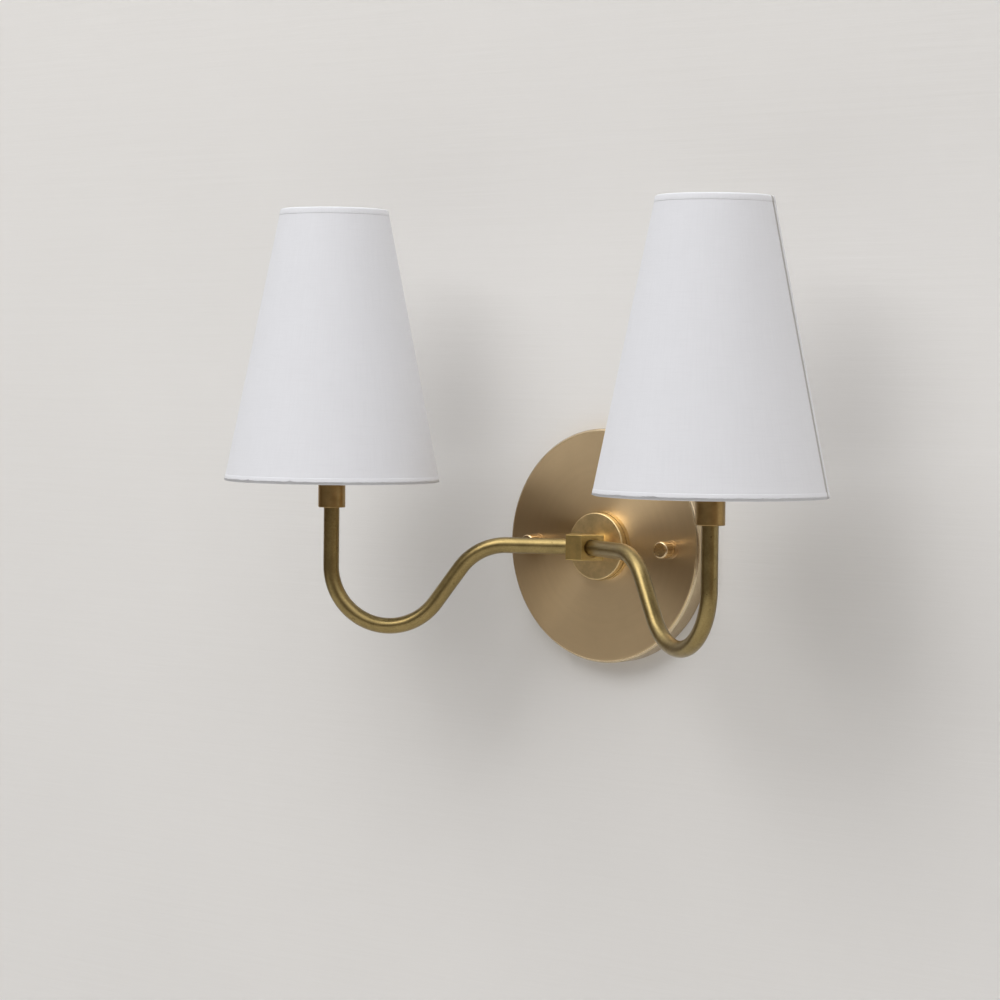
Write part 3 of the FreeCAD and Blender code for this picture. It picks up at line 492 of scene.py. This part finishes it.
def linen_piece(form, linen):
    """The outer cloth: a thin closed sheet with its lapped seam, lumpy as slubbed linen is."""
    mean_r = (form.foot_r + form.top_r) / 2
    turns = turns_from_seam(LINEN_TURNS, linen.seam_lap, form.foot_r)
    rows = LINEN_ROWS
    heights = np.linspace(form.foot, form.top, rows)
    count = len(turns)
    lap = seam_rise(turns, linen, mean_r)
    rng = np.random.RandomState(LINEN_SEEDS[form.side])
    lumps = np.zeros((rows, count))
    climb = np.arange(rows)[:, None] / rows
    for _ in range(LINEN_WAVES):
        order = rng.randint(*LINEN_ORDERS)
        rise = rng.uniform(-LINEN_CLIMB, LINEN_CLIMB)
        phase = rng.uniform(0.0, 2.0 * math.pi)
        lumps += rng.uniform(0.2, 1.0) * np.sin(order * turns[None, :] + phase + rise * climb * math.pi)
    lumps *= LINEN_LUMP / np.abs(lumps).max()
    out = np.vstack([lap[None, :] + lumps, np.full((rows, count), -linen.cloth)])
    vertices = []
    for i, row in enumerate(list(range(rows)) + list(range(rows - 1, -1, -1))):
        z = heights[row]
        angles = turns + seam_angle(linen, form.side, row / (rows - 1))
        reach = form.radius(z) + out[i]
        x = form.centre.x + reach * np.cos(angles)
        y = form.centre.y + reach * np.sin(angles)
        vertices += [(x[k], y[k], z) for k in range(count)]
    around = np.append(turns, turns[0] + 2.0 * math.pi) * mean_r
    across = np.concatenate([heights, heights[::-1], heights[:1]])
    faces = wound_grid(2 * rows, count, True)
    uvs = grid_uvs(2 * rows, count, across, around)
    return tidy_normals(new_piece("linen_" + form.side, vertices, faces, uvs))


def ring_piece(name, centre, outline, sides, start=0.0, wander=None, drift=None, over=None):
    """A closed outline carried round a centre from the start angle.

    Each point of it is (radius, height, give, lift). wander and drift move a point out and up by its give,
    and over moves it out by its lift.
    """
    wander = np.zeros(sides) if wander is None else wander
    drift = np.zeros(sides) if drift is None else drift
    over = np.zeros(sides) if over is None else over
    turns = np.linspace(-math.pi, math.pi, sides + 1)
    vertices = []
    for r, h, give, lift in outline:
        reach = r + wander * give + over * lift
        x = centre.x + reach * np.cos(turns[:-1] + start)
        y = centre.y + reach * np.sin(turns[:-1] + start)
        vertices += [(x[k], y[k], h + drift[k] * give) for k in range(sides)]
    along = [0.0]
    for here, ahead in zip(outline, outline[1:] + outline[:1]):
        along.append(along[-1] + math.hypot(ahead[0] - here[0], ahead[1] - here[1]))
    mean_r = sum(point[0] for point in outline) / len(outline)
    uvs = grid_uvs(len(outline), sides, along, turns * mean_r)
    return tidy_normals(new_piece(name, vertices, wound_grid(len(outline), sides, True), uvs))


def trim_outline(form, end):
    """A turned edge, as (radius, height, give, lift): flush outside, rolled over the wire, flat inside."""
    edge = form.top if end > 0 else form.foot
    hem = edge - end * TRIM_HEM
    tip = edge + end * form.trim_proud
    taper = (form.foot_r - form.top_r) / (form.top - form.foot)

    def skin(h):
        return form.foot_r - (h - form.foot) * taper

    points = []
    shoulder = tip - end * TRIM_ROUND
    for i in range(TRIM_STEPS + 1):
        h = hem + (shoulder - hem) * i / TRIM_STEPS
        swell = math.sin(math.pi * i / TRIM_STEPS)
        points.append((skin(h) + TRIM_LIFT + TRIM_SWELL * swell, h, 0.2 + 0.8 * swell, 1.0))
    half = TRIM_DEPTH / 2
    for i in range(1, ROLL_STEPS):
        turn = math.pi * i / ROLL_STEPS
        r = skin(shoulder) + TRIM_CLEAR - half * (1 - math.cos(turn))
        points.append((r, shoulder + end * TRIM_ROUND * math.sin(turn), 0.5, max(0.0, math.cos(turn))))
    inner = skin(shoulder) + TRIM_CLEAR - TRIM_DEPTH
    lean = skin(hem) - skin(shoulder)
    points.append((inner, shoulder, 0.4, 0.0))
    points.append((inner + lean, hem, 0.2, 0.0))
    points.append((inner + lean + TRIM_TAPE, hem, 0.2, 0.0))
    points.append((inner + TRIM_TAPE, shoulder - end * TRIM_LEDGE, 0.2, 0.0))
    points.append((skin(tip) - form.wall - TRIM_CLEAR, edge + end * TRIM_CLEAR, 0.1, 0.0))
    points.append((skin(tip) + TRIM_UNDER, edge + end * TRIM_CLEAR, 0.1, 0.6))
    points.append((skin(hem) + TRIM_UNDER, hem, 0.1, 0.9))
    return points


def trim_piece(form, linen, end):
    """The rolled trim at a shade's top, where end is 1, or at its foot, where it is -1."""
    place = "top" if end > 0 else "bottom"
    sides = TRIM_SIDES
    seed = TRIM_SEEDS[form.side] + (1 if end > 0 else 2)
    # Long and short puckers in and out, and long ones up and down
    wander = 0.7 * rough_wave(sides, seed, (9, 60)) + 0.5 * rough_wave(sides, seed + 5, (60, 150))
    wander = linen.pucker * wander
    drift = linen.pucker * 0.8 * rough_wave(sides, seed + 9, (4, 34))
    turns = np.linspace(-math.pi, math.pi, sides, endpoint=False)
    over = seam_rise(turns, linen, form.top_r if end > 0 else form.foot_r)
    start = seam_angle(linen, form.side, 1.0 if end > 0 else 0.0)
    name = "rolled_trim_" + place + "_" + form.side
    return ring_piece(name, form.centre, trim_outline(form, end), sides, start, wander, drift, over)


def liner_piece(form, linen):
    """The smooth stiff liner that the cloth is bonded to."""
    outline = []
    depth = form.top - form.foot
    for start, rise, skin in ((form.foot, depth, linen.cloth + LINER_GAP), (form.top, -depth, form.wall)):
        for i in range(LINER_ROWS + 1):
            z = start + rise * i / LINER_ROWS
            outline.append((form.radius(z) - skin, z, 0.0, 0.0))
    return ring_piece("shade_liner_" + form.side, form.centre, outline, LINER_SIDES)


# Threads

THREAD_ROWS = 8  # rings of points for each turn of a thread
STUD_THREAD = 0.42 * MM  # thread depths
NIPPLE_THREAD = 0.5 * MM
CAP_THREAD = 0.45 * MM
CAP_WALL = 0.9 * MM  # from the crest of the cap's thread to its inside
CAP_FOOT = 2.6 * MM  # from the cap's lowest point to the start of its thread
CREASE = math.radians(40.0)  # where faces meet at more than this, the edge stays crisp
ZINC = (0.60, 0.61, 0.63)


def threaded_piece(
    name, centre, direction, radius, pitch, depth, foot, top, bore=0.0, sides=28, rounded=False
):
    """A rod or tube with a helical thread in its outside, from foot to top along the direction."""
    rows = max(2, int((top - foot) / pitch * THREAD_ROWS))
    vertices = []
    for i in range(rows + 1):
        h = foot + (top - foot) * i / rows
        lead_in = min(1.0, i / THREAD_ROWS, (rows - i) / THREAD_ROWS)
        for k in range(sides):
            turn = 2.0 * math.pi * k / sides
            phase = (h / pitch - k / sides) % 1.0
            if rounded:
                cut = 0.5 - 0.5 * math.cos(2.0 * math.pi * phase)
            else:
                cut = 1.0 - lead_in * abs(2.0 * phase - 1.0)
            r = radius - depth * cut
            vertices.append((r * math.cos(turn), r * math.sin(turn), h))
    if bore > 0.0:
        for h in (top, foot):
            for k in range(sides):
                turn = 2.0 * math.pi * k / sides
                vertices.append((bore * math.cos(turn), bore * math.sin(turn), h))
        faces = wound_grid(rows + 3, sides, True)
    else:
        vertices += [(0.0, 0.0, top), (0.0, 0.0, foot)]
        faces = wound_grid(rows + 1, sides, False)
        last = rows * sides
        high = len(vertices) - 2
        for k in range(sides):
            n = (k + 1) % sides
            faces.append((last + k, last + n, high))
            faces.append((n, k, high + 1))
    piece = new_piece(name, vertices, faces)
    piece.data.transform(Matrix.Translation(centre) @ frame_axis(direction))
    return tidy_normals(piece)


def join_pieces(name, pieces):
    """One mesh out of several."""
    vertices, faces = [], []
    for piece in pieces:
        base = len(vertices)
        vertices += [v.co.copy() for v in piece.data.vertices]
        faces += [tuple(base + i for i in polygon.vertices) for polygon in piece.data.polygons]
        bpy.data.objects.remove(piece)
    return new_piece(name, vertices, faces)


def sharp_edges(piece):
    """Keeps the corners of a smooth mesh crisp."""
    mesh = bmesh.new()
    mesh.from_mesh(piece.data)
    for edge in mesh.edges:
        if edge.is_manifold and edge.calc_face_angle(0.0) > CREASE:
            edge.smooth = False
    mesh.to_mesh(piece.data)
    mesh.free()
    return piece


# Operators


def dress(names, material):
    """Gives CAD nodes a finish."""
    for name in names:
        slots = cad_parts[name].data.materials
        slots.clear()
        slots.append(material)


def finish_piece(piece, material, body, slot, *replaced):
    piece.data.materials.append(material)
    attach(piece, body)
    if replaced:
        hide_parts(*replaced)
    return piece


def both(name):
    return [name + "_" + side for side in SIDES]


class SCONCE_OT_brass(Operator):
    """Finishes the backplate, hub, block, arms, collars and knobs"""

    bl_idname = "sconce.brass"
    bl_label = "Brass Finishes"

    def execute(self, context):
        brass = context.scene.sconce_brass
        middle = (0.0, 0.0, 0.0)
        dress(["backplate"], satin_plate(brass))
        dress(["hub"], turned_brass("turned_hub", brass.hub_colour, 0.40, middle, 1, 0.30 * MM, 0.2))
        dress(both("arm"), rubbed_arm(brass))
        block = turned_brass("milled_block", brass.block_colour, 0.36, middle, 1, 0.5 * MM, 0.15)
        dress(["cross_block"], block)
        for side in SIDES:
            for kind, base, roughness, axis, line in (
                ("collar_", brass.collar_colour, 0.34, 2, 0.25 * MM),
                ("knob_", brass.plate_colour, 0.24, 1, 0.2 * MM),
            ):
                low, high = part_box(kind + side)
                dress([kind + side], turned_brass(kind + side, base, roughness, (low + high) / 2, axis, line))
        return {"FINISHED"}


class SCONCE_OT_fittings(Operator):
    """Finishes the mounting plate, nuts, washers, leads, sockets, clips and spiders"""

    bl_idname = "sconce.fittings"
    bl_label = "Fittings"

    def execute(self, context):
        brass = context.scene.sconce_brass
        zinc = plated("zinc_plate", ZINC, 0.34)
        bright = plated("plain_brass", brass.bright_colour, 0.26)
        wire = plated("spring_wire", scaled(brass.bright_colour, 0.95), 0.22)
        dress(["mounting_plate", "stud_nuts", "lock_washer"], zinc)
        dress(["knob_washers"], plated("washer_brass", scaled(brass.plate_colour, 0.9), 0.42))
        dress(["nipple_nut", "arm_set_screws"] + both("socket_nipple"), bright)
        dress(both("socket_shell") + both("socket_contact") + both("clip_ferrule"), bright)
        dress(both("shade_spider") + both("swivel_pin") + both("bulb_clip"), wire)
        dress(both("shade_ring_top") + both("shade_ring_bottom"), wire)
        dress(["ground_screw"], plated("ground_screw_green", (0.05, 0.32, 0.10), 0.36, 0.2))
        dress(both("arm_leads"), moulded("lead_insulation", (0.035, 0.033, 0.03), 0.42))
        dress(both("socket_body"), moulded("socket_moulding", (0.80, 0.77, 0.70), 0.38, 90.0))
        return {"FINISHED"}


class SCONCE_OT_threads(Operator):
    """Cuts the threads of the studs and the hollow nipple"""

    bl_idname = "sconce.threads"
    bl_label = "Threads"

    def execute(self, context):
        bulb = context.scene.sconce_bulb
        brass = context.scene.sconce_brass
        low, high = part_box("mounting_studs")
        foot, top = -high.y, -low.y
        stud_r = (high.z - low.z) / 2
        rods = []
        for side in SIDES.values():
            centre = Vector((side * (high.x - stud_r), 0.0, 0.0))
            rods.append(threaded_piece("stud", centre, OUT, stud_r, bulb.stud_pitch, STUD_THREAD, foot, top))
        studs = sharp_edges(join_pieces("threaded_studs", rods))
        finish_piece(studs, plated("stud_zinc", ZINC, 0.30), "fixture", "steel", "mounting_studs")
        low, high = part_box("nipple")
        foot, top = -high.y, -low.y
        nipple_r = (high.x - low.x) / 2
        bore = min(math.hypot(v.co.x, v.co.z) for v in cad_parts["nipple"].data.vertices)
        tube = threaded_piece(
            "threaded_nipple", Vector(), OUT, nipple_r, bulb.nipple_pitch, NIPPLE_THREAD, foot, top,
            bore=bore, sides=56,
        )
        plain = plated("nipple_brass", brass.bright_colour, 0.28)
        finish_piece(sharp_edges(tube), plain, "fixture", "brass_plain", "nipple")
        return {"FINISHED"}


class SCONCE_OT_bulbs(Operator):
    """Makes the clear bulbs, with their rolled screw caps, stems and filaments"""

    bl_idname = "sconce.bulbs"
    bl_label = "Bulbs"

    def execute(self, context):
        bulb = context.scene.sconce_bulb
        glass = Finish("clear_glass")
        glass.set(Base_Color=bulb.glass_tint, Roughness=0.02, IOR=1.47, Transmission_Weight=1.0)
        dress(both("bulb_glass"), glass.material)
        nickel = plated("cap_nickel", bulb.cap_colour, 0.24)
        dress(both("bulb_contact"), nickel)
        for side in SIDES:
            low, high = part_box("bulb_stem_" + side)
            stem = Finish("stem_" + side)
            height = stem.node("SeparateXYZ", Vector=stem.place()).outputs[2]
            rise = stem.node("MapRange", Value=height, From_Min=low.z, From_Max=high.z).outputs[0]
            coat = stem.ramp(rise, (0.30, 0.0), (0.33, 1.0))
            tone = stem.mixed(coat, (0.75, 0.76, 0.74), bulb.filament_colour)
            stem.set(Base_Color=tone, Roughness=0.35)
            dress(["bulb_stem_" + side], stem.material)
            low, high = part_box("bulb_cap_" + side)
            centre = Vector(((low.x + high.x) / 2, (low.y + high.y) / 2, 0.0))
            cap_r = (high.x - low.x) / 2
            foot, bore = low.z + CAP_FOOT, cap_r - CAP_WALL
            name = "bulb_cap_thread_" + side
            cap = threaded_piece(
                name, centre, UP, cap_r, bulb.cap_pitch, CAP_THREAD, foot, high.z,
                bore=bore, sides=64, rounded=True,
            )
            finish_piece(cap, nickel, "bulb_" + side, "bulb_metal", "bulb_cap_" + side)
        return {"FINISHED"}


class SCONCE_OT_shades(Operator):
    """Makes both linen shades: cloth with its lapped seam, liner and rolled trims"""

    bl_idname = "sconce.shades"
    bl_label = "Linen Shades"

    def execute(self, context):
        linen = context.scene.sconce_linen
        cloth = linen_finish(linen)
        smooth = liner_finish(linen)
        for side in SIDES:
            form = ShadeForm(side)
            body = "shade_" + side
            skin = finish_piece(linen_piece(form, linen), cloth, body, "linen", "shade_skin_" + side)
            liner = finish_piece(liner_piece(form, linen), smooth, body, "linen")
            for end, place in ((1, "top"), (-1, "bottom")):
                trim = trim_piece(form, linen, end)
                node = "shade_trim_" + place + "_" + side
                finish_piece(trim, cloth, body, "linen_trim", node)
        return {"FINISHED"}


# Stage

CAMERA_PLACE = Vector((1.0530, -1.4211, 0.0972))
CAMERA_YAW = math.radians(38.768)  # turned left from looking straight at the wall
CAMERA_PITCH = math.radians(-2.298)
CAMERA_ROLL = math.radians(0.674)
CAMERA_LENS = 106.27  # millimetres, on a sensor of CAMERA_SENSOR
CAMERA_SENSOR = 36.0
WALL_GAP = 0.3 * MM
WALL_HOLE_R = 62 * MM  # the opening behind the backplate
WALL_HOLE_SIDES = 64
WALL_REACH = 3.0
FLOOR_FRONT = -6.0  # the floor's two edges, before and behind the wall
FLOOR_BACK = 3.0
WINDOW_PLACE = (-0.49, -1.69, 1.76)
WINDOW_AIM = (0.15, 0.0, -0.15)
WINDOW_SIZE = (1.6, 1.36)
# The room's light: height of a direction from -1, straight down, to 1, straight up, and its colour
ROOM_LIGHT = (
    (-1.0, (0.18, 0.17, 0.155)),
    (-0.42, (0.11, 0.10, 0.09)),
    (-0.20, (0.080, 0.060, 0.043)),
    (0.06, (0.080, 0.060, 0.043)),
    (0.60, (0.55, 0.555, 0.57)),
    (1.0, (0.95, 0.955, 0.97)),
)
ROOM_LEFT = 1.75  # how strong that light is from the left and from the right
ROOM_RIGHT = 3.5
ROOM_AHEAD = 0.42  # and the share of it that is left straight before the wall


def add_camera():
    flat = math.cos(CAMERA_PITCH)
    ahead = Vector((-math.sin(CAMERA_YAW) * flat, math.cos(CAMERA_YAW) * flat, math.sin(CAMERA_PITCH)))
    level = ahead.cross(UP).normalized()
    over = level.cross(ahead)
    right = math.cos(CAMERA_ROLL) * level + math.sin(CAMERA_ROLL) * over
    upward = -math.sin(CAMERA_ROLL) * level + math.cos(CAMERA_ROLL) * over
    data = bpy.data.cameras.new("photo_view")
    data.lens = CAMERA_LENS
    data.sensor_width = CAMERA_SENSOR
    camera = bpy.data.objects.new("photo_view", data)
    turn = Matrix((right, upward, -ahead)).transposed().to_4x4()
    camera.matrix_world = Matrix.Translation(CAMERA_PLACE) @ turn
    bpy.context.scene.collection.objects.link(camera)
    bpy.context.scene.camera = camera


def wall_finish(stage):
    """Pale paint with faint level brush marks; from behind the wall isn't there."""
    finish = Finish("wall_paint")
    marks = finish.noise(finish.stretched(finish.place(), (9.0, 1.0, 210.0)), 1.0, 4.0, 0.6)
    cloud = finish.noise(finish.place(), 3.2, 3.0, 0.5)
    tone = finish.blended(cloud, 0.3, 0.7, scaled(stage.wall_colour, 0.965), stage.wall_colour)
    finish.set(Base_Color=tone, Roughness=0.85, Normal=finish.bump(marks, 0.6 * MM, 0.25))
    behind = finish.node("NewGeometry").outputs["Backfacing"]
    clear = finish.node("BsdfTransparent").outputs[0]
    sided = finish.node("MixShader", Fac=behind)
    finish.put(sided.inputs[1], finish.shader.outputs[0])
    finish.put(sided.inputs[2], clear)
    finish.put(finish.tree.nodes["Material Output"].inputs["Surface"], sided.outputs[0])
    return finish.material


def add_wall(stage):
    """A flat wall with a round opening behind the backplate."""
    sides = WALL_HOLE_SIDES
    turns = [2 * math.pi * k / sides for k in range(sides)]
    hole = [(WALL_HOLE_R * math.cos(turn), WALL_GAP, WALL_HOLE_R * math.sin(turn)) for turn in turns]
    rim = []
    for x, y, z in hole:
        stretch = WALL_REACH / max(abs(x), abs(z))
        rim.append((x * stretch, y, z * stretch))
    faces = [(k, (k + 1) % sides, sides + (k + 1) % sides, sides + k) for k in range(sides)]
    wall = new_piece("wall", hole + rim, faces, smooth=False)
    wall.data.materials.append(wall_finish(stage))
    if wall.data.polygons[0].normal.y > 0:
        wall.data.flip_normals()


def add_floor(stage):
    low, high, drop = -WALL_REACH, WALL_REACH, -stage.floor_drop
    corners = [(low, FLOOR_FRONT), (high, FLOOR_FRONT), (high, FLOOR_BACK), (low, FLOOR_BACK)]
    floor = new_piece("floor", [(x, y, drop) for x, y in corners], [(0, 1, 2, 3)], smooth=False)
    finish = Finish("floor_paint")
    cloud = finish.noise(finish.place(), 2.0, 3.0)
    tone = finish.blended(cloud, 0.3, 0.7, scaled(stage.floor_colour, 0.97), stage.floor_colour)
    finish.set(Base_Color=tone, Roughness=0.8)
    floor.data.materials.append(finish.material)


def add_lamp(name, place, aim, size, power):
    data = bpy.data.lights.new(name, "AREA")
    data.shape = "RECTANGLE"
    data.size, data.size_y = size
    data.energy = power
    lamp = bpy.data.objects.new(name, data)
    lamp.location = place
    lamp.rotation_euler = (Vector(aim) - Vector(place)).to_track_quat("-Z", "Y").to_euler()
    bpy.context.scene.collection.objects.link(lamp)


def room_share(tree, value, low, at_low, at_high):
    """A factor that runs from at_low to at_high as the value runs from low to 1."""
    share_of = tree.nodes.new("ShaderNodeMapRange")
    for name, number in (("From Min", low), ("To Min", at_low), ("To Max", at_high)):
        share_of.inputs[name].default_value = number
    tree.links.new(value, share_of.inputs["Value"])
    return share_of.outputs[0]


def product(tree, first, second):
    made = tree.nodes.new("ShaderNodeMath")
    made.operation = "MULTIPLY"
    tree.links.new(first, made.inputs[0])
    if isinstance(second, float):
        made.inputs[1].default_value = second
    else:
        tree.links.new(second, made.inputs[1])
    return made.outputs[0]


def add_world():
    """Soft room light by direction: bright above, dark at eye level, dimmer straight ahead of the wall."""
    world = bpy.data.worlds.new("room")
    world.use_nodes = True
    bpy.context.scene.world = world
    tree = world.node_tree
    way = tree.nodes.new("ShaderNodeSeparateXYZ")
    tree.links.new(tree.nodes.new("ShaderNodeTexCoord").outputs["Generated"], way.inputs[0])
    ramp = tree.nodes.new("ShaderNodeValToRGB")
    ramp.color_ramp.interpolation = "EASE"
    tree.links.new(room_share(tree, way.outputs["Z"], -1.0, 0.0, 1.0), ramp.inputs[0])
    elements = ramp.color_ramp.elements
    while len(elements) < len(ROOM_LIGHT):
        elements.new(0.5)
    for element, (height, tone) in zip(elements, ROOM_LIGHT):
        element.position = (height + 1.0) / 2
        element.color = (*tone, 1.0)
    across = room_share(tree, way.outputs["X"], -1.0, ROOM_LEFT, ROOM_RIGHT)
    ahead = room_share(tree, product(tree, way.outputs["Y"], -1.0), 0.3, 1.0, ROOM_AHEAD)
    back = tree.nodes["Background"]
    tree.links.new(ramp.outputs[0], back.inputs["Color"])
    tree.links.new(product(tree, across, ahead), back.inputs["Strength"])


class SCONCE_OT_stage(Operator):
    """Adds the wall, the floor, the soft room light and window, and a camera at the photograph's angle"""

    bl_idname = "sconce.stage"
    bl_label = "Stage"

    def execute(self, context):
        stage = context.scene.sconce_stage
        add_wall(stage)
        add_floor(stage)
        add_world()
        add_lamp("window", WINDOW_PLACE, WINDOW_AIM, WINDOW_SIZE, stage.window_power)
        add_camera()
        context.scene.view_settings.view_transform = "Standard"
        return {"FINISHED"}


OPERATORS = (
    SCONCE_OT_brass,
    SCONCE_OT_fittings,
    SCONCE_OT_threads,
    SCONCE_OT_bulbs,
    SCONCE_OT_shades,
    SCONCE_OT_stage,
)


class SCONCE_PT_panel(Panel):
    """Lists the sconce's pieces and their settings"""

    bl_idname = "SCONCE_PT_panel"
    bl_label = "Double Arm Wall Sconce"
    bl_space_type = "VIEW_3D"
    bl_region_type = "UI"
    bl_category = "Sconce"

    def draw(self, context):
        for operator in OPERATORS:
            self.layout.operator(operator.bl_idname)
        for name in SETTINGS:
            group = getattr(context.scene, name)
            box = self.layout.box()
            for key in group.__annotations__:
                box.prop(group, key)


SETTINGS = {
    "sconce_brass": SconceBrass,
    "sconce_linen": SconceLinen,
    "sconce_bulb": SconceBulb,
    "sconce_stage": SconceStage,
}


def register():
    for group in SETTINGS.values():
        bpy.utils.register_class(group)
    for operator in OPERATORS:
        bpy.utils.register_class(operator)
    bpy.utils.register_class(SCONCE_PT_panel)
    for name, group in SETTINGS.items():
        setattr(bpy.types.Scene, name, PointerProperty(type=group))


def unregister():
    for name in SETTINGS:
        delattr(bpy.types.Scene, name)
    bpy.utils.unregister_class(SCONCE_PT_panel)
    for operator in reversed(OPERATORS):
        bpy.utils.unregister_class(operator)
    for group in SETTINGS.values():
        bpy.utils.unregister_class(group)


def main():
    register()
    bpy.ops.sconce.brass()
    bpy.ops.sconce.fittings()
    bpy.ops.sconce.threads()
    bpy.ops.sconce.bulbs()
    bpy.ops.sconce.shades()
    bpy.ops.sconce.stage()


if __name__ == "__main__":
    main()
